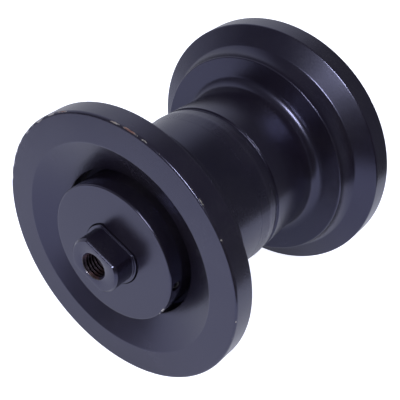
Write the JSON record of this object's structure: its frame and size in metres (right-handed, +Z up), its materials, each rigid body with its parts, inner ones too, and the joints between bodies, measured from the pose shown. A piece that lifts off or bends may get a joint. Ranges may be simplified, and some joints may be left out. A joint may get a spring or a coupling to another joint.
{
  "type": "track roller",
  "caption": "Double-flanged lower track roller: a welded shell with a waisted hub turns on a fixed shaft with flats and a threaded hole at each end.",
  "frame": {"origin": "centre of the roller: on the spin axis, midway between the two shaft ends", "axes": "+Y along the shaft from the near end to the far end, +Z up with the roller lying on its two flanges, +X across, so that the shaft's flats face 64.5 degrees up from +X"},
  "size_m": [0.1596, 0.186, 0.1596],
  "materials": {
    "shell_paint": "semi-gloss black enamel with a blue tint, chipped at the rims",
    "collar_paint": "semi-gloss black enamel",
    "shaft_paint": "semi-gloss black enamel, worn at the edges",
    "weld": "painted weld bead",
    "bush_bronze": "machined bronze lining on a steel back",
    "seal_iron": "lapped seal iron",
    "spring_steel": "dull hardened steel",
    "nitrile": "matt black nitrile rubber"
  },
  "bodies": {
    "axle": {"shaft": "shaft_paint", "oil_gallery_plug": "spring_steel", "collar_near": "collar_paint", "collar_lock_pin_near": "spring_steel", "collar_o_ring_near": "nitrile", "seal_ring_fixed_near": "seal_iron", "toric_fixed_near": "nitrile", "collar_far": "collar_paint", "collar_lock_pin_far": "spring_steel", "collar_o_ring_far": "nitrile", "seal_ring_fixed_far": "seal_iron", "toric_fixed_far": "nitrile"},
    "roller": {"shell_girth_weld": "weld", "roller_shell_near": "shell_paint", "bush_near": "bush_bronze", "seal_ring_rotating_near": "seal_iron", "toric_rotating_near": "nitrile", "roller_shell_far": "shell_paint", "bush_far": "bush_bronze", "seal_ring_rotating_far": "seal_iron", "toric_rotating_far": "nitrile"}
  },
  "joints": [
    {"name": "roller_spin", "type": "hinge", "parent": "axle", "child": "roller", "pos_m": [0, 0, 0], "axis": [0, 1, 0], "continuous": true}
  ]
}
